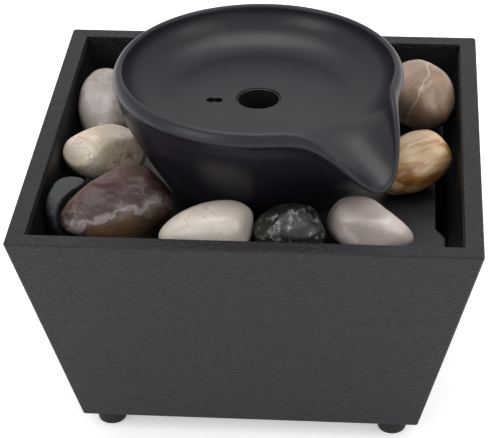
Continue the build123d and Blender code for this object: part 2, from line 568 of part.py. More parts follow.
# Pebbles on the tray.
for pebble_name, pebble in PEBBLES.items():
    long_half, wide_half, tall_half = pebble["half"]
    with BuildPart() as stone:
        Sphere(1.0)
        scale(by=pebble["half"])
    shaped = Rot(Z=pebble["turn"]) * Rot(Y=pebble["pitch"]) * Rot(X=pebble["roll"]) * stone.part
    lowest = shaped.bounding_box().min.Z
    middle_x, middle_y = pebble["at"]
    with BuildPart() as placed_stone:
        add(Pos(middle_x, middle_y, TRAY_TOP_Z + 0.05 - lowest) * shaped)
    save(placed_stone, pebble_name)

for pebble_name, slices in ANGULAR_PEBBLES.items():
    with BuildPart() as broken_stone:
        for height, corners in slices.items():
            with BuildSketch(Plane.XY.offset(height)):
                with BuildLine():
                    Spline(*corners, periodic=True)
                make_face()
        loft()
    save(broken_stone, pebble_name)
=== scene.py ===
"""The tabletop fountain's visible model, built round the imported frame."""

import math

import bmesh
import bpy
import numpy as np
from mathutils import Matrix, Vector, noise


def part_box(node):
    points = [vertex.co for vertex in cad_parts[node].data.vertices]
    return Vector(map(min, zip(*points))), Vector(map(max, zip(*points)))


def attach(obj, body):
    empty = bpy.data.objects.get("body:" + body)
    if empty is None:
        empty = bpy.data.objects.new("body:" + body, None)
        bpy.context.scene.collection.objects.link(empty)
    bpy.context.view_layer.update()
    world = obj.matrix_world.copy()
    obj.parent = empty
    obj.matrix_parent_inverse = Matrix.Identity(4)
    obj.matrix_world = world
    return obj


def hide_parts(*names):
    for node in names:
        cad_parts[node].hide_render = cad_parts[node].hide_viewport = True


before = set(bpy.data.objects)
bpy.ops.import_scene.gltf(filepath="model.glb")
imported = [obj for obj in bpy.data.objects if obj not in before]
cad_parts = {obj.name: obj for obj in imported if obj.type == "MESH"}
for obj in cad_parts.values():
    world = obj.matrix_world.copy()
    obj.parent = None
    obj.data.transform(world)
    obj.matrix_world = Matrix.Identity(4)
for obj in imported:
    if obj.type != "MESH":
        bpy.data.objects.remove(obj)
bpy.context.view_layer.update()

MM = 0.001


# ---------------------------------------------------------------- camera, floor and lights

CAMERA_PLACE = Vector((64.69, -838.67, 596.22)) * MM
CAMERA_TARGET = Vector((-7.8, 0.0, 72.25)) * MM
CAMERA_ROLL = math.radians(-0.98)
CAMERA_LENS = 149.4

BACKDROP_STRENGTH = 0.8
LAMP_AIM = (0.0, 0.0, 0.1)
LAMPS = (("overhead", (0.0, 0.12, 1.1), (0.9, 0.6), 5.0),
         ("left_fill", (-0.9, -0.9, 0.7), (0.6, 0.8), 4.0),
         ("right_fill", (1.0, -0.5, 0.8), (0.5, 0.8), 2.5))
FLOOR_HALF = 3
PAPER_GLOW = 0.42


def make_camera():
    camera = bpy.data.objects.new("camera", bpy.data.cameras.new("camera"))
    bpy.context.scene.collection.objects.link(camera)
    camera.data.lens = CAMERA_LENS
    camera.data.sensor_width = 36.0
    camera.data.clip_start = 0.02
    forward = (CAMERA_TARGET - CAMERA_PLACE).normalized()
    level_right = forward.cross(Vector((0, 0, 1))).normalized()
    level_up = level_right.cross(forward)
    right = level_right * math.cos(CAMERA_ROLL) + level_up * math.sin(CAMERA_ROLL)
    up = right.cross(forward)
    turn = Matrix((right, up, -forward)).transposed()
    camera.matrix_world = Matrix.Translation(CAMERA_PLACE) @ turn.to_4x4()
    bpy.context.scene.camera = camera


def add_area_light(name, place, aim, size, power):
    """A rectangular lamp. Places and sizes are in metres, power in watts."""
    light = bpy.data.objects.new(name, bpy.data.lights.new(name, "AREA"))
    bpy.context.scene.collection.objects.link(light)
    light.data.shape = "RECTANGLE"
    light.data.size = size[0]
    light.data.size_y = size[1]
    light.data.energy = power
    light.location = place
    light.rotation_euler = (Vector(aim) - Vector(place)).to_track_quat("-Z", "Y").to_euler()


def make_studio():
    scene = bpy.context.scene
    scene.view_settings.view_transform = "Standard"
    scene.world = bpy.data.worlds.new("studio")
    scene.world.use_nodes = True
    backdrop = scene.world.node_tree.nodes["Background"]
    backdrop.inputs["Color"].default_value = (1.0, 1.0, 1.0, 1.0)
    backdrop.inputs["Strength"].default_value = BACKDROP_STRENGTH
    for name, place, size, power in LAMPS:
        add_area_light(name, place, LAMP_AIM, size, power)

    corners = [(-FLOOR_HALF, -FLOOR_HALF, 0), (FLOOR_HALF, -FLOOR_HALF, 0), (FLOOR_HALF, FLOOR_HALF, 0),
               (-FLOOR_HALF, FLOOR_HALF, 0)]
    floor = new_piece("floor", corners, [(0, 1, 2, 3)])
    paper = Finish("floor_paper", roughness=0.9, specular=0.1)
    paper.colour(paper.ramp(paper.noise(30.0), ((0.3, (0.93, 0.93, 0.93)), (0.7, (0.95, 0.95, 0.95)))))
    paper.shader.inputs["Emission Color"].default_value = (1.0, 1.0, 1.0, 1.0)
    paper.shader.inputs["Emission Strength"].default_value = PAPER_GLOW
    paper.apply(floor)


# ---------------------------------------------------------------- node materials

class Finish:
    """One node material. Sizes are in millimetres, in the object's own frame."""

    def __init__(self, name, roughness=0.5, specular=0.5, coat=0.0, coat_roughness=0.1, metallic=0.0,
                 scatter=0.0, scatter_radius=(1.0, 0.6, 0.4), scatter_scale=0.002):
        self.material = bpy.data.materials.new(name)
        self.material.use_nodes = True
        self.tree = self.material.node_tree
        self.shader = self.tree.nodes["Principled BSDF"]
        self.shader.inputs["Roughness"].default_value = roughness
        self.shader.inputs["Specular IOR Level"].default_value = specular
        self.shader.inputs["Coat Weight"].default_value = coat
        self.shader.inputs["Coat Roughness"].default_value = coat_roughness
        self.shader.inputs["Metallic"].default_value = metallic
        if scatter:
            self.shader.inputs["Subsurface Weight"].default_value = scatter
            self.shader.inputs["Subsurface Radius"].default_value = scatter_radius
            self.shader.inputs["Subsurface Scale"].default_value = scatter_scale
        coords = self.tree.nodes.new("ShaderNodeTexCoord")
        self.place = self.vector("MULTIPLY", coords.outputs["Object"], (1 / MM, 1 / MM, 1 / MM))

    def node(self, kind, links=(), **values):
        made = self.tree.nodes.new(kind)
        for name, value in values.items():
            made.inputs[name].default_value = value
        for name, source in links:
            self.tree.links.new(source, made.inputs[name])
        return made

    def vector(self, operation, first, second):
        made = self.node("ShaderNodeVectorMath", [(0, first)])
        made.operation = operation
        made.inputs[1].default_value = second
        return made.outputs[0]

    def sum(self, operation, first, second, third=None, clamp=False):
        """One Math node. Each value is a number or the output of another node."""
        made = self.node("ShaderNodeMath")
        made.operation = operation
        made.use_clamp = clamp
        for index, value in enumerate((first, second, third)):
            if value is None:
                continue
            if isinstance(value, (int, float)):
                made.inputs[index].default_value = value
            else:
                self.tree.links.new(value, made.inputs[index])
        return made.outputs[0]

    def turned(self, centre=(0, 0, 0), turn=(0, 0, 0), stretch=(1, 1, 1)):
        """The place measured from a centre, in axes turned by degrees, and then scaled."""
        moved = self.vector("SUBTRACT", self.place, centre)
        spin = self.node("ShaderNodeVectorRotate", [("Vector", moved)])
        spin.rotation_type = "EULER_XYZ"
        spin.inputs["Rotation"].default_value = [math.radians(angle) for angle in turn]
        return self.vector("MULTIPLY", spin.outputs[0], stretch)

    def noise(self, size, detail=3.0, rough=0.5, twist=0.0, place=None):
        made = self.node("ShaderNodeTexNoise", [("Vector", place or self.place)],
                         Scale=1 / size, Detail=detail, Roughness=rough, Distortion=twist)
        return made.outputs["Fac"]

    def cells(self, size, feature="F1", place=None, randomness=1.0):
        made = self.node("ShaderNodeTexVoronoi", [("Vector", place or self.place)],
                         Scale=1 / size, Randomness=randomness)
        made.feature = feature
        return made.outputs["Distance"]

    def bands(self, size, twist=2.0, detail=3.0, place=None, direction="X"):
        made = self.node("ShaderNodeTexWave", [("Vector", place or self.place)],
                         Scale=1 / size, Distortion=twist, Detail=detail)
        made.bands_direction = direction
        return made.outputs["Fac"]

    def veins(self, size, width, detail=4.0, rough=0.55, twist=0.4, place=None):
        """Thin winding lines, 1 on the line and 0 away from it."""
        pattern = self.noise(size, detail, rough, twist, place)
        away = self.sum("ABSOLUTE", self.sum("SUBTRACT", pattern, 0.5), 0)
        return self.sum("SUBTRACT", 1.0, self.sum("DIVIDE", away, width, clamp=True), clamp=True)

    def spot(self, centre, radius, edge=0.4, wobble=0.0, stretch=(1, 1, 1), turn=(0, 0, 0)):
        """A soft round mark: 1 inside the radius and 0 outside, with a wandering edge."""
        reach = self.node("ShaderNodeVectorMath", [(0, self.turned(centre, turn, stretch))])
        reach.operation = "LENGTH"
        size = reach.outputs["Value"]
        if wobble:
            shift = self.sum("SUBTRACT", self.noise(radius * 0.6, 4.0), 0.5)
            size = self.sum("MULTIPLY_ADD", shift, wobble * radius * 2, size)
        made = self.node("ShaderNodeMapRange", [("Value", size)])
        made.inputs["From Min"].default_value = radius * (1 - edge)
        made.inputs["From Max"].default_value = radius * (1 + edge)
        made.inputs["To Min"].default_value = 1.0
        made.inputs["To Max"].default_value = 0.0
        made.interpolation_type = "SMOOTHSTEP"
        return made.outputs[0]

    def along(self, direction, start, end, centre=(0, 0, 0)):
        """Rises from 0 to 1 between two distances along a direction."""
        moved = self.vector("SUBTRACT", self.place, centre)
        dot = self.node("ShaderNodeVectorMath", [(0, moved)])
        dot.operation = "DOT_PRODUCT"
        dot.inputs[1].default_value = Vector(direction).normalized()
        made = self.node("ShaderNodeMapRange", [("Value", dot.outputs["Value"])])
        made.inputs["From Min"].default_value = start
        made.inputs["From Max"].default_value = end
        made.interpolation_type = "SMOOTHSTEP"
        return made.outputs[0]

    def step(self, value, low, high, to_low=0.0, to_high=1.0):
        made = self.node("ShaderNodeMapRange", [("Value", value)])
        made.inputs["From Min"].default_value = low
        made.inputs["From Max"].default_value = high
        made.inputs["To Min"].default_value = to_low
        made.inputs["To Max"].default_value = to_high
        return made.outputs[0]

    def ramp(self, value, stops):
        made = self.node("ShaderNodeValToRGB", [("Fac", value)])
        elements = made.color_ramp.elements
        while len(elements) < len(stops):
            elements.new(0.5)
        for element, (position, colour) in zip(elements, stops):
            element.position = position
            element.color = (*colour, 1.0)
        return made.outputs["Color"]

    def blend(self, share, first, second, mode="MIX"):
        made = self.tree.nodes.new("ShaderNodeMix")
        made.data_type = "RGBA"
        made.blend_type = mode
        for socket, value in ((made.inputs[0], share), (made.inputs[6], first), (made.inputs[7], second)):
            if isinstance(value, (int, float)):
                socket.default_value = value
            elif isinstance(value, tuple):
                socket.default_value = (*value, 1.0)
            else:
                self.tree.links.new(value, socket)
        return made.outputs[2]

    def colour(self, source):
        self.tree.links.new(source, self.shader.inputs["Base Color"])

    def roughness(self, source):
        self.tree.links.new(source, self.shader.inputs["Roughness"])

    def relief(self, height, depth):
        """Bump of a height that runs from 0 to 1, as deep as the depth in millimetres."""
        made = self.node("ShaderNodeBump", [("Height", height)], Distance=depth * MM)
        previous = self.shader.inputs["Normal"].links
        if previous:
            self.tree.links.new(previous[0].from_socket, made.inputs["Normal"])
        self.tree.links.new(made.outputs[0], self.shader.inputs["Normal"])

    def apply(self, *pieces):
        for piece in pieces:
            piece.data.materials.clear()
            piece.data.materials.append(self.material)


# ---------------------------------------------------------------- mesh helpers

def new_piece(name, points, faces, smooth=True, sharp_angle=None):
    mesh = bpy.data.meshes.new(name)
    mesh.from_pydata(points, [], faces)
    mesh.update()
    piece = bpy.data.objects.new(name, mesh)
    bpy.context.scene.collection.objects.link(piece)
    shade(piece, smooth, sharp_angle)
    return piece


def shade(piece, smooth=True, sharp_angle=None):
    mesh = piece.data
    mesh.polygons.foreach_set("use_smooth", [smooth] * len(mesh.polygons))
    if smooth and sharp_angle:
        mesh.set_sharp_from_angle(angle=math.radians(sharp_angle))
    mesh.update()


def apply_modifiers(piece):
    graph = bpy.context.evaluated_depsgraph_get()
    finished = bpy.data.meshes.new_from_object(piece.evaluated_get(graph))
    piece.modifiers.clear()
    piece.data = finished


def cut_away(piece, cutter):
    """Take one closed mesh out of another and drop the cutter."""
    difference = piece.modifiers.new("cut", "BOOLEAN")
    difference.operation = "DIFFERENCE"
    difference.solver = "EXACT"
    difference.object = cutter
    bpy.context.view_layer.update()
    apply_modifiers(piece)
    bpy.data.objects.remove(cutter)


def smooth_line(points, steps):
    """A rounded line through the points, with a number of steps between each pair of them."""
    path = [Vector(point) for point in points]
    ends = [2 * path[0] - path[1]] + path + [2 * path[-1] - path[-2]]
    line = []
    for index in range(1, len(ends) - 2):
        before, start, end, after = ends[index - 1:index + 3]
        span = (end - start).length
        leave = (end - before) * span / max((start - before).length + span, 1e-9)
        arrive = (after - start) * span / max((after - end).length + span, 1e-9)
        for step in range(steps):
            share = step / steps
            square = share * share
            cube = square * share
            line.append(start * (2 * cube - 3 * square + 1) + leave * (cube - 2 * square + share)
                        + end * (3 * square - 2 * cube) + arrive * (cube - square))
    line.append(path[-1])
    return [tuple(point) for point in line]


def corner(centre, radius, first, last, steps=4):
    """Points of a small arc, in degrees from the outward direction towards up."""
    points = []
    for step in range(steps + 1):
        angle = math.radians(first + (last - first) * step / steps)
        points.append((centre[0] + radius * math.cos(angle), centre[1] + radius * math.sin(angle)))
    return points


def ring_faces(rings, across, closed):
    """Quads between rings of equal length. A closed stack joins its last ring to its first."""
    faces = []
    for ring in range(rings if closed else rings - 1):
        following = (ring + 1) % rings
        for place in range(across):
            beside = (place + 1) % across
            faces.append((ring * across + place, ring * across + beside,
                          following * across + beside, following * across + place))
    return faces


def turned_piece(name, section, segments=192, closed=True, sharp_angle=None, centre=(0.0, 0.0)):
    """A piece turned about a vertical axis. The section is (radius, height) points in millimetres, or a
    function of the angle that gives them."""
    outlines = []
    for segment in range(segments):
        angle = 2 * math.pi * segment / segments
        outline = section(angle) if callable(section) else section
        outlines.append([(centre[0] + radius * math.cos(angle), centre[1] + radius * math.sin(angle), height)
                         for radius, height in outline])
    rings = len(outlines[0])
    points = [Vector(outlines[segment][ring]) * MM for ring in range(rings) for segment in range(segments)]
    return new_piece(name, points, ring_faces(rings, segments, closed), sharp_angle=sharp_angle)


def square_ring(half, radius, steps=6):
    """Points round a square with rounded corners."""
    points = []
    for quarter in range(4):
        turn = math.pi / 2 * quarter
        for step in range(steps + 1):
            angle = math.pi / 2 * step / steps
            x = half - radius + radius * math.cos(angle)
            y = half - radius + radius * math.sin(angle)
            points.append((x * math.cos(turn) - y * math.sin(turn), x * math.sin(turn) + y * math.cos(turn)))
    return points


def square_piece(name, section, sharp_angle=None):
    """A closed piece with square rings. The section is (half width, height, corner radius) points."""
    points = []
    for half, height, radius in section:
        points += [Vector((x, y, height)) * MM for x, y in square_ring(half, radius)]
    across = len(points) // len(section)
    return new_piece(name, points, ring_faces(len(section), across, True), sharp_angle=sharp_angle)


def outward(piece):
    """Point every face of a closed mesh outwards."""
    shell = bmesh.new()
    shell.from_mesh(piece.data)
    bmesh.ops.recalc_face_normals(shell, faces=shell.faces)
    shell.to_mesh(piece.data)
    shell.free()
    return piece


def settle(piece, node, body):
    """Let a piece stand for a CAD node, on its body."""
    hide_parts(node)
    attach(piece, body)
    return piece


# ---------------------------------------------------------------- casing, tray, sleeve and feet

CASING_TOP_HALF = 105.0
CASING_BASE_HALF = 79.25
RIM_WIDTH = 8.56
RIM_THICKNESS = 2.6
CASING_WALL = 2.6
EDGE_ROUND = 0.8


def middle_of(node):
    low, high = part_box(node)
    return (low + high) / 2 / MM


def make_casing():
    low, high = (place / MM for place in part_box("outer_casing"))
    taper = (CASING_TOP_HALF - CASING_BASE_HALF) / (high.z - low.z)
    tilt = math.degrees(math.atan(taper))
    skin = CASING_WALL / math.cos(math.radians(tilt))

    def outside(z):
        return high.x - taper * (high.z - z)

    edge_z = high.z - EDGE_ROUND
    edge_centre = (outside(edge_z) - EDGE_ROUND / math.cos(math.radians(tilt)), edge_z)
    land_inside = high.x - RIM_WIDTH
    flange_z = high.z - RIM_THICKNESS
    section = [(outside(low.z) - 0.5, low.z, 1.0)]
    section += [(outside(low.z + 0.5), low.z + 0.5, 1.4)]
    section += [(half, z, 1.4) for half, z in corner(edge_centre, EDGE_ROUND, -tilt, 90, 5)]
    section += [(half, z, 0.6) for half, z in corner((land_inside + 0.5, high.z - 0.5), 0.5, 90, 180, 4)]
    section += [(land_inside, flange_z, 0.6), (outside(flange_z) - skin, flange_z, 0.6)]
    section += [(outside(low.z) - skin, low.z, 0.6)]
    casing = outward(square_piece("casing_shell", section, sharp_angle=50))

    notch_low, notch_high = (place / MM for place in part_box("cord_grommet"))
    middle_x = (notch_low.x + notch_high.x) / 2
    notch = bmesh.new()
    bmesh.ops.create_cube(notch, size=1.0)
    for vert in notch.verts:
        vert.co = Vector((middle_x + vert.co.x * 10.0, 78.0 + vert.co.y * 16.0,
                          low.z - 4.0 + (vert.co.z + 0.5) * (notch_high.z - 2.0 - low.z + 4.0))) * MM
    cutter = bpy.data.objects.new("notch", bpy.data.meshes.new("notch"))
    bpy.context.scene.collection.objects.link(cutter)
    notch.to_mesh(cutter.data)
    notch.free()
    cut_away(casing, cutter)
    even_normals(casing)
    return settle(casing, "outer_casing", "casing")


def even_normals(piece, sharp_angle=50):
    """Keep the shading of wide flat faces flat up to their rounded edges."""
    shade(piece, True, sharp_angle)
    weighted = piece.modifiers.new("normals", "WEIGHTED_NORMAL")
    weighted.keep_sharp = True
    weighted.weight = 100
    apply_modifiers(piece)


NOTCH_DEPTH = 4.4
NOTCH_HALF_LENGTH = 38.0
NOTCH_BLEND = 9.0
TRAY_THICKNESS = 2.4
TRAY_HALF_WIDTH = 89.3
TRAY_HOLE_RADIUS = 9.5
TRAY_HOLE_SIDES = 64


def tray_outline(inset):
    """Half of the tray's outline, from the front middle round the right side to the back middle."""
    half = TRAY_HALF_WIDTH - inset
    round_end = corner((half - 2.0, -half + 2.0), 2.0, -90, 0)
    points = [(0.0, -half)] + round_end
    steps = 10
    for step in range(steps + 1):
        share = step / steps
        ease = share * share * (3 - 2 * share)
        length = NOTCH_HALF_LENGTH + NOTCH_BLEND * (1 - share)
        points.append((half - NOTCH_DEPTH * ease, -length - inset * 0.4))
    points += [(x, -y) for x, y in reversed(points[1:])]
    return points + [(0.0, half)]


def make_tray():
    """The deck that the pebbles lie on, with rounded edges and a drain notch along each side."""
    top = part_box("rock_tray")[1].z / MM
    bottom = top - TRAY_THICKNESS
    levels = [(0.8, top), (0.25, top - 0.25), (0.0, top - 0.8), (0.0, bottom)]
    shape = bmesh.new()
    rings = []
    for inset, z in levels:
        half_outline = tray_outline(inset)
        outline = half_outline + [(-x, y) for x, y in reversed(half_outline[1:-1])]
        rings.append([shape.verts.new(Vector((x, y, z)) * MM) for x, y in outline])
    hole = []
    for z in (top, bottom):
        hole.append([shape.verts.new(Vector((TRAY_HOLE_RADIUS * math.cos(a), TRAY_HOLE_RADIUS * math.sin(a),
                                             z)) * MM)
                     for a in np.linspace(0, 2 * math.pi, TRAY_HOLE_SIDES, endpoint=False)])
    for upper, lower in zip(rings, rings[1:]):
        for index in range(len(upper)):
            beside = (index + 1) % len(upper)
            shape.faces.new((upper[index], lower[index], lower[beside], upper[beside]))
    for index in range(TRAY_HOLE_SIDES):
        beside = (index + 1) % TRAY_HOLE_SIDES
        shape.faces.new((hole[0][index], hole[0][beside], hole[1][beside], hole[1][index]))
    for outer_ring, inner_ring in ((rings[0], hole[0]), (rings[-1], hole[1])):
        edges = [shape.edges.get((ring[i], ring[(i + 1) % len(ring)]))
                 for ring in (outer_ring, inner_ring) for i in range(len(ring))]
        bmesh.ops.triangle_fill(shape, edges=[edge for edge in edges if edge], use_beauty=True)
    bmesh.ops.recalc_face_normals(shape, faces=shape.faces)
    deck = bpy.data.objects.new("tray_deck", bpy.data.meshes.new("tray_deck"))
    bpy.context.scene.collection.objects.link(deck)
    shape.to_mesh(deck.data)
    shape.free()
    even_normals(deck, 40)
    return settle(deck, "rock_tray", "tray")


def make_sleeve():
    section = [(12.4, 106.0), (12.4, 107.6), (10.35, 107.6)]
    section += corner((9.97, 138.9), 0.38, 0, 180, 6)
    section += [(9.6, 123.5), (6.3, 123.5), (6.3, 121.2), (8.05, 121.2), (8.05, 106.0)]
    sleeve = outward(turned_piece("sleeve_tube", section, 128, sharp_angle=40))
    return settle(sleeve, "outlet_sleeve", "sleeve")


def make_feet():
    feet = []
    for node in ("foot_front_left", "foot_front_right", "foot_back_left", "foot_back_right"):
        middle = middle_of(node)
        section = [(0.02, 10.0)] + corner((6.4, 9.6), 0.4, 90, 0, 3) + corner((5.3, 1.5), 1.5, 0, -90, 6)
        section += [(4.2, 0.0), (3.6, 0.5), (0.02, 0.5)]
        foot = turned_piece(node + "_pad", section, 96, sharp_angle=50, centre=(middle.x, middle.y))
        feet.append(settle(outward(foot), node, "casing"))
    return feet


# ---------------------------------------------------------------- bowl

DISH_Z = 139.9
DISH_FLOOR_RADIUS = 42.0
LIP_CREST_Z = 157.35
LIP_OUTER_RADIUS = 68.15
LIP_INNER_RADIUS = 63.5
LIP_INNER_Z = LIP_CREST_Z - 0.9
LIP_THINNING = 0.7
BOWL_FOOT_Z = 94.5
OUTLET_RADIUS = 10.4
SPOUT_ANGLE = -46.1
SPOUT_REACH = 19.8
SPOUT_DROP = 28.0
SPOUT_REACH_SPREAD = 44.1
SPOUT_DROP_SPREAD = 37.0
SPOUT_REACH_POWER = 2.29
SPOUT_DROP_POWER = 2.85
SPOUT_THINNING = 0.72
DISH_STEPS = 26


def swell(offset, spread, power):
    """A smooth bump that is 1 at no offset and 0 from the spread outwards."""
    share = min(abs(offset) / spread, 1.0)
    return (0.5 * (1 + math.cos(math.pi * share))) ** power


def bowl_section(angle):
    """The bowl's closed section at an angle about its axis, as (radius, height) points."""
    offset = (math.degrees(angle) - SPOUT_ANGLE + 180) % 360 - 180
    reach = SPOUT_REACH * swell(offset, SPOUT_REACH_SPREAD, SPOUT_REACH_POWER)
    drop = SPOUT_DROP * swell(offset, SPOUT_DROP_SPREAD, SPOUT_DROP_POWER)
    thinning = 1 - SPOUT_THINNING * drop / SPOUT_DROP
    slimness = 1 - LIP_THINNING * drop / SPOUT_DROP
    dish_end = LIP_OUTER_RADIUS - (LIP_OUTER_RADIUS - LIP_INNER_RADIUS) * slimness

    hole = [(OUTLET_RADIUS, 112.0), (OUTLET_RADIUS, 125.0), (OUTLET_RADIUS, 138.9)]
    hole += corner((OUTLET_RADIUS + 0.5, DISH_Z - 0.5), 0.5, 180, 90, 4)
    floor = [(radius, DISH_Z) for radius in (11.4, 14.0, 18.0, 24.0, 30.0, 36.0, 40.0)]
    dish = []
    for step in range(DISH_STEPS + 1):
        turn = math.pi / 2 * step / DISH_STEPS
        out = math.sin(turn)
        up = 1 - math.cos(turn)
        radius = DISH_FLOOR_RADIUS + (dish_end - DISH_FLOOR_RADIUS) * out + reach * out ** 2.3
        dish.append((radius, DISH_Z + (LIP_INNER_Z - DISH_Z) * up - drop * up ** 0.8))
    lip_places = [(63.5, 0.9), (63.95, 0.3), (64.7, 0.0), (65.6, 0.2), (66.7, 1.1), (67.6, 2.6),
                  (68.15, 4.4), (68.05, 5.9), (67.3, 6.7), (66.8, 7.7)]
    lip = smooth_line([(LIP_OUTER_RADIUS - (LIP_OUTER_RADIUS - radius) * slimness + reach,
                        LIP_CREST_Z - drop - below * thinning) for radius, below in lip_places], 4)
    body_places = [(66.6, 148.0, 0.74, 0.80), (66.0, 143.5, 0.58, 0.70), (63.8, 136.0, 0.32, 0.52),
                   (57.8, 123.0, 0.06, 0.26), (49.0, 107.0, 0.0, 0.05), (42.4, 95.6, 0.0, 0.0)]
    body = smooth_line([lip[-1]] + [(radius + reach * out_share, height - drop * down_share)
                                    for radius, height, out_share, down_share in body_places], 7)
    foot = [(41.9, 94.7), (41.5, BOWL_FOOT_Z), (39.1, BOWL_FOOT_Z), (38.7, 94.9)]
    hollow = [(45.0, 106.0), (49.5, 116.0), (50.5, 124.0), (49.0, 132.0), (44.0, 136.1), (36.0, 136.7),
              (14.0, 136.7), (13.0, 135.7), (13.0, 112.0)]
    return hole + floor + dish[:-1] + lip[:-1] + body + foot + hollow


def bowl_angles():
    """Angles about the bowl's axis, closer together where the spout is."""
    middle = math.radians(SPOUT_ANGLE)
    half_spout = math.radians(SPOUT_REACH_SPREAD)
    spout = np.linspace(-half_spout, half_spout, 150, endpoint=False)
    rest = np.linspace(half_spout, 2 * math.pi - half_spout, 210, endpoint=False)
    return [middle + angle for angle in (*spout, *rest)]


def make_bowl():
    angles = bowl_angles()
    outlines = [bowl_section(angle) for angle in angles]
    across = len(angles)
    points = []
    for ring in range(len(outlines[0])):
        for angle, outline in zip(angles, outlines):
            radius, height = outline[ring]
            points.append(Vector((radius * math.cos(angle), radius * math.sin(angle), height)) * MM)
    bowl = outward(new_piece("bowl_shell", points, ring_faces(len(outlines[0]), across, True)))

    cut_away(bowl, slot_cutter())
    shade(bowl, True, 42)
    return settle(bowl, "bowl", "bowl")


SLOT_CENTRE = (-20.5, -3.2)
SLOT_SPREAD = 1.75
SLOT_HALF_WIDTH = 2.1
SLOT_HALF_LENGTH = 2.2


def slot_cutter():
    """A column the shape of the small double hole beside the outlet."""
    outline = []
    turns = 64
    for step in range(turns):
        angle = 2 * math.pi * step / turns
        direction = Vector((math.cos(angle), math.sin(angle)))
        reach = 0.0
        for side in (-1, 1):
            for lift in np.linspace(-1, 1, 9):
                centre = Vector((side * SLOT_SPREAD, lift * (SLOT_HALF_LENGTH - SLOT_HALF_WIDTH)))
                across = centre.x * direction.y - centre.y * direction.x
                if abs(across) < SLOT_HALF_WIDTH:
                    reach = max(reach, centre.dot(direction) + math.sqrt(SLOT_HALF_WIDTH ** 2 - across ** 2))
        outline.append((SLOT_CENTRE[0] + direction.x * reach, SLOT_CENTRE[1] + direction.y * reach))
    points = [Vector((x, y, z)) * MM for z in (133.0, 145.0) for x, y in outline]
    faces = ring_faces(2, turns, False) + [tuple(reversed(range(turns))), tuple(range(turns, 2 * turns))]
    return outward(new_piece("slot_cutter", points, faces, smooth=False))


# ---------------------------------------------------------------- pebbles

# half sizes, turn, roll and pitch as in the CAD; egg tapers one end, cuts are flattened sides as
# (direction, distance, in half sizes), and edge is how crisp they are.
ROUND_PEBBLES = {
    "pebble_back_left": dict(
        half=(25.5, 14.0, 14.3), turn=100, roll=-6, pitch=-14, egg=-0.06, bulge=0.05, edge=14,
        cuts=[((1, 0, 0.2), 0.93), ((0.2, 0, 1), 0.9), ((0, -1, 0.2), 0.92)]),
    "pebble_left_cream": dict(
        half=(22.0, 14.0, 13.4), turn=30, roll=8, pitch=14, egg=0.0, bulge=0.03, edge=24,
        cuts=[((-0.9, -0.3, 0.3), 0.86), ((-0.45, 0.75, 0.5), 0.85), ((0.1, 0.1, 1), 0.86),
              ((0.75, 0.5, 0.4), 0.84), ((0.1, -0.85, 0.45), 0.84), ((0.9, -0.4, 0), 0.88)]),
    "pebble_front_cream": dict(
        half=(21.8, 14.2, 12.4), turn=10, roll=-8, pitch=-8, egg=0.22, bulge=0.03, edge=8,
        cuts=[((0.3, -0.2, 1), 0.95), ((1, -0.3, 0), 0.9)]),
    "pebble_black_marble": dict(
        half=(16.6, 13.6, 12.6), turn=10, roll=-8, pitch=0, egg=0.05, bulge=0.05, edge=10,
        cuts=[((0.1, -0.7, 0.7), 0.88), ((0.9, 0, 0.3), 0.88), ((-0.8, -0.3, 0.5), 0.9)]),
    "pebble_white_quartz": dict(
        half=(21.0, 13.0, 11.8), turn=-22, roll=-8, pitch=5, egg=-0.12, bulge=0.06, edge=10,
        cuts=[((0.5, 0.6, 0.6), 0.8), ((-0.9, -0.3, 0.2), 0.88), ((0, -0.4, 1), 0.9),
              ((0.2, -1, 0.2), 0.88)]),
    "pebble_amber_agate": dict(
        half=(21.8, 14.2, 13.6), turn=32, roll=4, pitch=-14, egg=0.16, bulge=0.06, edge=9,
        cuts=[((0.2, -0.75, 0.65), 0.84), ((0.4, 0.3, 0.9), 0.88), ((1, 0, 0.1), 0.92)]),
    "pebble_tan_agate": dict(
        half=(27.0, 16.0, 16.5), turn=-70, roll=-12, pitch=-11, egg=0.06, bulge=0.05, edge=9,
        cuts=[((0.2, -0.5, 0.8), 0.88), ((0.9, 0.2, 0.3), 0.9), ((-0.2, 0.6, 0.6), 0.92)]),
}
BROKEN_PEBBLES = {
    "pebble_black_slate": dict(voxel=0.55, rounds=5, bulge=0.35),
    "pebble_red_jasper": dict(voxel=0.55, rounds=7, bulge=0.30),
}


def fit_into(points, node):
    """Move and scale points so that they fill a CAD node's box."""
    low, high = (np.array(place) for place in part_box(node))
    found_low = points.min(axis=0)
    found_high = points.max(axis=0)
    return low + (points - found_low) * (high - low) / (found_high - found_low)


def uneven(points, size, amount, seed):
    """Gentle lumps: how far each point moves outwards, from smooth noise."""
    shift = Vector((seed * 7.3, seed * 3.1, seed * 5.7))
    return np.array([noise.noise(Vector(point) / size + shift) for point in points]) * amount


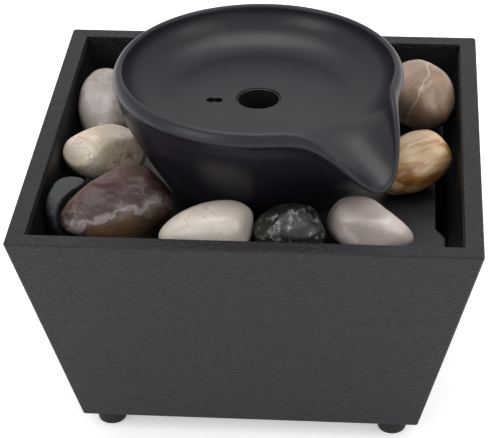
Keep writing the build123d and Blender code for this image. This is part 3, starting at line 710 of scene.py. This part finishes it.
def make_round_pebble(node, seed):
    shape = ROUND_PEBBLES[node]
    ball = bmesh.new()
    bmesh.ops.create_icosphere(ball, subdivisions=6, radius=1.0)
    ball.verts.ensure_lookup_table()
    directions = np.array([vert.co[:] for vert in ball.verts])
    power = shape["edge"]
    total = np.ones(len(directions))
    for direction, distance in shape["cuts"]:
        normal = np.array(direction) / np.linalg.norm(direction)
        total += np.clip(directions @ normal / distance, 0, None) ** (2 * power)
    reach = total ** (-0.5 / power)
    fine = uneven(directions, 0.35, 0.2 * shape["bulge"], seed + 9)
    reach += uneven(directions, 0.9, shape["bulge"], seed) + fine
    points = directions * reach[:, None]
    points[:, 1:] *= (1 + shape["egg"] * points[:, 0])[:, None]
    points *= np.array(shape["half"])
    turn = (Matrix.Rotation(math.radians(shape["turn"]), 3, "Z")
            @ Matrix.Rotation(math.radians(shape["pitch"]), 3, "Y")
            @ Matrix.Rotation(math.radians(shape["roll"]), 3, "X"))
    points = fit_into(points @ np.array(turn).T, node)
    for vert, point in zip(ball.verts, points):
        vert.co = point
    name = node.replace("pebble", "stone")
    stone = bpy.data.objects.new(name, bpy.data.meshes.new(name))
    bpy.context.scene.collection.objects.link(stone)
    ball.to_mesh(stone.data)
    ball.free()
    shade(stone)
    return settle(stone, node, "tray")


def make_broken_pebble(node, seed):
    """A flat-sided pebble: the CAD shape with its edges worn round and its faces a little uneven."""
    shape = BROKEN_PEBBLES[node]
    stone = bpy.data.objects.new(node.replace("pebble", "stone"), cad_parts[node].data.copy())
    bpy.context.scene.collection.objects.link(stone)
    remesh = stone.modifiers.new("even", "REMESH")
    remesh.mode = "VOXEL"
    remesh.voxel_size = shape["voxel"] * MM
    worn = stone.modifiers.new("worn", "SMOOTH")
    worn.factor = 0.6
    worn.iterations = shape["rounds"]
    bpy.context.view_layer.update()
    apply_modifiers(stone)
    count = len(stone.data.vertices)
    flat = np.empty(count * 3)
    stone.data.vertices.foreach_get("co", flat)
    points = flat.reshape(-1, 3)
    normals = np.array([vert.normal[:] for vert in stone.data.vertices])
    fine = uneven(points / MM, 2.6, 0.3 * shape["bulge"], seed + 5)
    lumps = uneven(points / MM, 9.0, shape["bulge"], seed) + fine
    points = fit_into(points + normals * lumps[:, None] * MM, node)
    stone.data.vertices.foreach_set("co", points.ravel())
    shade(stone)
    return settle(stone, node, "tray")


# ---------------------------------------------------------------- finishes

def plastic(name, dark, light, roughness, grain, depth, mottle=20.0, specular=0.5):
    """Moulded plastic with a fine surface grain and faint unevenness of tone."""
    made = Finish(name, roughness=roughness, specular=specular)
    made.colour(made.ramp(made.noise(mottle, 4.0), ((0.35, dark), (0.65, light))))
    made.roughness(made.step(made.noise(mottle * 0.5), 0.3, 0.7, roughness - 0.04, roughness + 0.04))
    made.relief(made.noise(grain, 2.0), depth)
    return made


def casing_finish():
    made = Finish("casing_leather_grain", roughness=0.5, specular=0.35)
    pebbled = made.cells(1.15, "SMOOTH_F1")
    creases = made.sum("SUBTRACT", 1.0, made.veins(1.6, 0.05, 2.0), clamp=True)
    height = made.sum("MULTIPLY", made.step(pebbled, 0.0, 0.8), made.step(creases, 0, 1, 0.75, 1.0))
    height = made.sum("MULTIPLY_ADD", made.noise(0.9, 3.0), 0.8, height)
    speckle = made.step(made.noise(1.3, 3.0), 0.35, 0.65)
    cloud = made.step(made.noise(45.0, 2.0), 0.3, 0.7, 0.0, 0.35)
    tone = made.blend(speckle, (0.005, 0.004, 0.007), (0.012, 0.010, 0.015))
    made.colour(made.blend(cloud, tone, (0.008, 0.007, 0.010)))
    made.roughness(made.step(made.noise(2.4, 3.0), 0.3, 0.7, 0.44, 0.58))
    made.relief(height, 0.5)
    return made


def bowl_finish():
    made = Finish("bowl_satin", roughness=0.36, specular=0.38)
    tone = made.ramp(made.noise(26.0, 3.0), ((0.3, (0.009, 0.007, 0.012)), (0.7, (0.012, 0.010, 0.015))))
    made.colour(tone)
    made.roughness(made.step(made.noise(8.0, 4.0), 0.3, 0.7, 0.33, 0.39))
    made.relief(made.noise(0.7, 3.0), 0.03)
    return made


STONE_GLOSS = dict(roughness=0.3, specular=0.5, coat=0.25, coat_roughness=0.15)


def grey_tan_stone(middle):
    made = Finish("stone_grey_tan", scatter=0.12, **STONE_GLOSS)
    cloud = made.noise(12.0, 5.0, 0.6, 0.6)
    body = made.ramp(cloud, ((0.3, (0.20, 0.165, 0.145)), (0.5, (0.29, 0.245, 0.225)),
                             (0.7, (0.37, 0.32, 0.295))))
    body = made.blend(made.veins(9.0, 0.02, 6.0, 0.65), body, (0.42, 0.37, 0.34))
    pale = made.spot(middle + Vector((-4, -8, 6)), 9, 0.6, 0.4)
    body = made.blend(made.sum("MULTIPLY", pale, 0.5), body, (0.46, 0.42, 0.39))
    speckle = made.step(made.noise(1.2, 5.0, 0.7), 0.56, 0.72, 0.0, 0.45)
    body = made.blend(speckle, body, (0.19, 0.155, 0.135))
    made.colour(body)
    made.relief(made.noise(1.0, 5.0, 0.65), 0.15)
    return made


def left_cream_stone(middle):
    made = Finish("stone_left_cream", scatter=0.15, **STONE_GLOSS)
    body = made.ramp(made.noise(15.0, 4.0, 0.55, 0.5), ((0.3, (0.54, 0.44, 0.34)), (0.5, (0.66, 0.56, 0.45)),
                                                    (0.72, (0.74, 0.66, 0.56))))
    stained = made.spot(middle + Vector((9, -7, -3)), 11, 0.7, 0.5)
    pits = made.sum("MULTIPLY", made.step(made.noise(2.6, 5.0, 0.7, 0.4), 0.5, 0.64), stained)
    body = made.blend(made.sum("MULTIPLY", stained, 0.45), body, (0.55, 0.40, 0.25))
    body = made.blend(pits, body, (0.22, 0.12, 0.06))
    body = made.blend(made.veins(13.0, 0.010, 3.0), body, (0.42, 0.31, 0.21))
    made.colour(body)
    made.relief(made.noise(2.0, 5.0, 0.6), 0.18)
    return made


def slate_stone(middle):
    made = Finish("stone_black_slate", roughness=0.5, specular=0.35)
    layers = made.noise(5.0, 5.0, 0.6, place=made.turned(middle, (0, 25, 0), (1, 1, 2.2)))
    body = made.ramp(layers, ((0.3, (0.006, 0.007, 0.008)), (0.6, (0.017, 0.020, 0.022)),
                              (0.8, (0.034, 0.039, 0.041))))
    # painted light: the upper side of the slate is lightened as if lit from above
    upper = made.along((0.2, 0.4, 1), 2, 12, middle)
    body = made.blend(made.sum("MULTIPLY", upper, 0.55), body, (0.042, 0.048, 0.052))
    made.colour(body)
    made.relief(layers, 0.5)
    made.relief(made.noise(1.2, 6.0, 0.65), 0.25)
    return made


def jasper_stone(middle):
    made = Finish("stone_red_jasper", roughness=0.3, specular=0.3, coat=0.15, coat_roughness=0.15)
    wander = made.sum("MULTIPLY", made.sum("SUBTRACT", made.noise(11.0, 5.0, 0.6, 0.8), 0.5), 0.5)
    across = made.sum("ADD", made.along((0.45, -0.85, -0.5), -20, 20, middle), wander)
    body = made.ramp(across, ((0.12, (0.085, 0.050, 0.040)), (0.3, (0.048, 0.018, 0.015)),
                              (0.5, (0.030, 0.010, 0.009)), (0.66, (0.060, 0.034, 0.028)),
                              (0.74, (0.24, 0.20, 0.20)), (0.80, (0.075, 0.044, 0.032)),
                              (0.92, (0.13, 0.075, 0.038))))
    # painted shade: the right end of the jasper, where it lies under the bowl, is darkened towards near
    # black
    right = made.along((1, 0.2, -0.2), 4, 20, middle)
    body = made.blend(made.sum("MULTIPLY", right, 0.7), body, (0.022, 0.011, 0.010))
    body = made.blend(made.sum("MULTIPLY", made.veins(24.0, 0.005, 3.0), 0.55), body, (0.24, 0.16, 0.13))
    made.colour(body)
    made.relief(made.noise(2.0, 5.0, 0.6), 0.2)
    return made


def front_cream_stone(middle):
    made = Finish("stone_front_cream", scatter=0.15, **STONE_GLOSS)
    cloud = made.noise(16.0, 4.0, 0.5, 0.4)
    body = made.ramp(cloud, ((0.3, (0.56, 0.485, 0.415)), (0.7, (0.72, 0.65, 0.58))))
    strokes = made.veins(12.0, 0.010, 3.0, place=made.turned(middle, (0, 0, 35), (0.4, 1.4, 1)))
    marked = made.spot(middle + Vector((-4, -6, 3)), 12, 0.6, 0.5)
    body = made.blend(made.sum("MULTIPLY", strokes, marked), body, (0.36, 0.24, 0.15))
    made.colour(body)
    made.relief(made.noise(2.2, 5.0, 0.6), 0.15)
    return made


def marble_stone(middle):
    made = Finish("stone_black_marble", roughness=0.32, specular=0.4, coat=0.15, coat_roughness=0.15)
    cloud = made.noise(6.0, 5.0, 0.65)
    body = made.ramp(cloud, ((0.35, (0.004, 0.006, 0.005)), (0.6, (0.017, 0.021, 0.018)),
                             (0.8, (0.055, 0.062, 0.056))))
    thin = made.veins(8.0, 0.05, 6.0, 0.72, 0.8)
    broken = made.step(made.noise(5.0, 4.0, 0.6), 0.48, 0.62)
    body = made.blend(made.sum("MULTIPLY", thin, broken), body, (0.34, 0.34, 0.32))
    blob = made.spot(middle + Vector((0, -11, -4)), 3.6, 0.4, 0.8)
    body = made.blend(blob, body, (0.55, 0.55, 0.53))
    made.colour(body)
    made.relief(made.noise(1.2, 5.0, 0.6), 0.12)
    return made


def quartz_stone(middle):
    made = Finish("stone_white_quartz", scatter=0.2, **STONE_GLOSS)
    cloud = made.noise(13.0, 4.0, 0.55, 0.6)
    body = made.ramp(cloud, ((0.3, (0.46, 0.375, 0.34)), (0.7, (0.62, 0.53, 0.49))))
    greyed = made.along((-0.6, 0.5, 0.5), 3, 15, middle)
    body = made.blend(made.sum("MULTIPLY", greyed, 0.6), body, (0.35, 0.31, 0.295))
    body = made.blend(made.spot(middle + Vector((12, -6, 4)), 2.2, 0.6, 0.8), body, (0.28, 0.15, 0.09))
    # painted highlight: a pale patch on the lower left front of the quartz stands in for light catching it
    pale = made.spot(middle + Vector((-10, -9, -2)), 6, 0.3, 0.6)
    body = made.blend(made.sum("MULTIPLY", pale, 0.7), body, (0.76, 0.71, 0.67))
    made.colour(body)
    made.relief(made.noise(2.0, 5.0, 0.6), 0.15)
    return made


def amber_stone(middle):
    made = Finish("stone_amber_agate", scatter=0.15, roughness=0.24, specular=0.5, coat=0.3,
                  coat_roughness=0.12)
    streaks = made.noise(7.0, 4.0, 0.5, 0.6, place=made.turned(middle, (0, 0, -32), (0.4, 1.3, 1.3)))
    body = made.ramp(streaks, ((0.34, (0.24, 0.095, 0.020)), (0.47, (0.44, 0.23, 0.075)),
                               (0.60, (0.62, 0.44, 0.24))))
    # painted light: the top of the agate is lightened towards cream as if lit from above
    top = made.along((-0.3, 0.2, 1), 0, 14, middle)
    body = made.blend(made.sum("MULTIPLY", top, 0.4), body, (0.66, 0.54, 0.38))
    # painted shade: the lower right front side is darkened as if turned away from the lamps
    dark = made.along((0.8, -0.5, -0.7), 5, 18, middle)
    body = made.blend(made.sum("MULTIPLY", dark, 0.7), body, (0.15, 0.060, 0.018))
    made.colour(body)
    made.relief(made.noise(2.4, 4.0, 0.6), 0.1)
    return made


def tan_stone(middle):
    made = Finish("stone_tan_agate", scatter=0.12, **STONE_GLOSS)
    cloud = made.noise(14.0, 5.0, 0.6, 0.8)
    body = made.ramp(cloud, ((0.3, (0.19, 0.115, 0.068)), (0.5, (0.29, 0.19, 0.125)),
                             (0.7, (0.33, 0.24, 0.18))))
    sweep = made.spot(middle + Vector((-16, -4, 8)), 22, 0.3, 0.3)
    arc = made.ramp(sweep, ((0.40, (0, 0, 0)), (0.5, (1, 1, 1)), (0.60, (0, 0, 0))))
    body = made.blend(made.sum("MULTIPLY", arc, 0.75), body, (0.58, 0.48, 0.40))
    rough_patch = made.spot(middle + Vector((8, -14, -2)), 9, 0.5, 0.5)
    grains = made.sum("MULTIPLY", made.step(made.cells(1.6), 0.2, 0.6), rough_patch)
    body = made.blend(made.sum("MULTIPLY", grains, 0.6), body, (0.11, 0.07, 0.048))
    made.colour(body)
    made.relief(made.noise(1.6, 5.0, 0.65), 0.2)
    return made


STONE_FINISHES = {
    "pebble_back_left": grey_tan_stone,
    "pebble_left_cream": left_cream_stone,
    "pebble_black_slate": slate_stone,
    "pebble_red_jasper": jasper_stone,
    "pebble_front_cream": front_cream_stone,
    "pebble_black_marble": marble_stone,
    "pebble_white_quartz": quartz_stone,
    "pebble_amber_agate": amber_stone,
    "pebble_tan_agate": tan_stone,
}


def metal(name, colour, roughness, grain=0.6):
    made = Finish(name, roughness=roughness, metallic=1.0)
    lighter = tuple(min(1.0, part * 1.15) for part in colour)
    made.colour(made.ramp(made.noise(6.0, 4.0), ((0.35, colour), (0.65, lighter))))
    made.roughness(made.step(made.noise(1.5, 4.0), 0.3, 0.7, roughness - 0.06, roughness + 0.06))
    made.relief(made.noise(grain, 3.0), 0.02)
    return made


def winding(name, colour):
    """Lacquered wire wound side by side."""
    made = Finish(name, roughness=0.3, metallic=0.8, coat=0.3)
    turns = made.bands(0.5, 0.2, 1.0, direction="Z")
    made.colour(made.ramp(turns, ((0.2, tuple(part * 0.5 for part in colour)), (0.8, colour))))
    made.relief(turns, 0.12)
    return made


def finish_frame():
    """Give each CAD node that stays in view its own finish."""
    pump = plastic("pump_plastic", (0.012, 0.012, 0.013), (0.018, 0.018, 0.02), 0.45, 0.5, 0.05)
    rubber = plastic("black_rubber", (0.010, 0.010, 0.010), (0.016, 0.016, 0.016), 0.65, 0.35, 0.04,
                     specular=0.3)
    finishes = {
        "reservoir_basin": plastic("basin_plastic", (0.003, 0.003, 0.004), (0.005, 0.005, 0.006), 0.42, 0.8,
                                   0.02, specular=0.2),
        "base_plate": plastic("base_plastic", (0.018, 0.018, 0.019), (0.026, 0.026, 0.027), 0.5, 0.6, 0.06),
        "base_screws": metal("screw_steel", (0.45, 0.45, 0.46), 0.35),
        "cord_grommet": rubber,
        "suction_cups": rubber,
        "pump_housing": pump,
        "impeller_cover": pump,
        "intake_cover": pump,
        "flow_dial": plastic("dial_plastic", (0.10, 0.10, 0.11), (0.14, 0.14, 0.15), 0.4, 0.5, 0.04),
        "stator_core": metal("lamination_steel", (0.28, 0.28, 0.29), 0.45),
        "stator_coil": winding("coil_copper", (0.62, 0.25, 0.10)),
        "potting_plug": plastic("potting_resin", (0.012, 0.011, 0.010), (0.02, 0.018, 0.016), 0.3, 2.0,
                                0.05),
        "rotor_shaft": plastic("shaft_ceramic", (0.70, 0.69, 0.66), (0.78, 0.77, 0.74), 0.25, 0.6, 0.01),
        "front_bush": plastic("bush_rubber", (0.02, 0.02, 0.02), (0.03, 0.03, 0.03), 0.6, 0.4, 0.03),
        "rear_bush": rubber,
        "rotor_magnet": plastic("magnet_ferrite", (0.05, 0.05, 0.052), (0.075, 0.075, 0.078), 0.45, 0.5,
                                0.05),
        "impeller": plastic("impeller_plastic", (0.62, 0.62, 0.60), (0.70, 0.70, 0.68), 0.35, 0.6, 0.03),
        "riser_tube": plastic("tube_vinyl", (0.030, 0.030, 0.031), (0.042, 0.042, 0.043), 0.25, 1.2, 0.02),
    }
    for node, finish in finishes.items():
        finish.apply(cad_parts[node])
    return rubber


make_camera()
make_studio()
casing_finish().apply(make_casing())
plastic("tray_plastic", (0.016, 0.016, 0.019), (0.022, 0.022, 0.025), 0.42, 0.7, 0.03).apply(make_tray())
bowl_finish().apply(make_bowl())
plastic("sleeve_rubber", (0.008, 0.008, 0.009), (0.012, 0.012, 0.013), 0.15, 1.5, 0.01).apply(make_sleeve())
black_rubber = finish_frame()
black_rubber.apply(*make_feet())
for seed, node in enumerate(STONE_FINISHES):
    shaper = make_broken_pebble if node in BROKEN_PEBBLES else make_round_pebble
    STONE_FINISHES[node](middle_of(node)).apply(shaper(node, seed + 1))
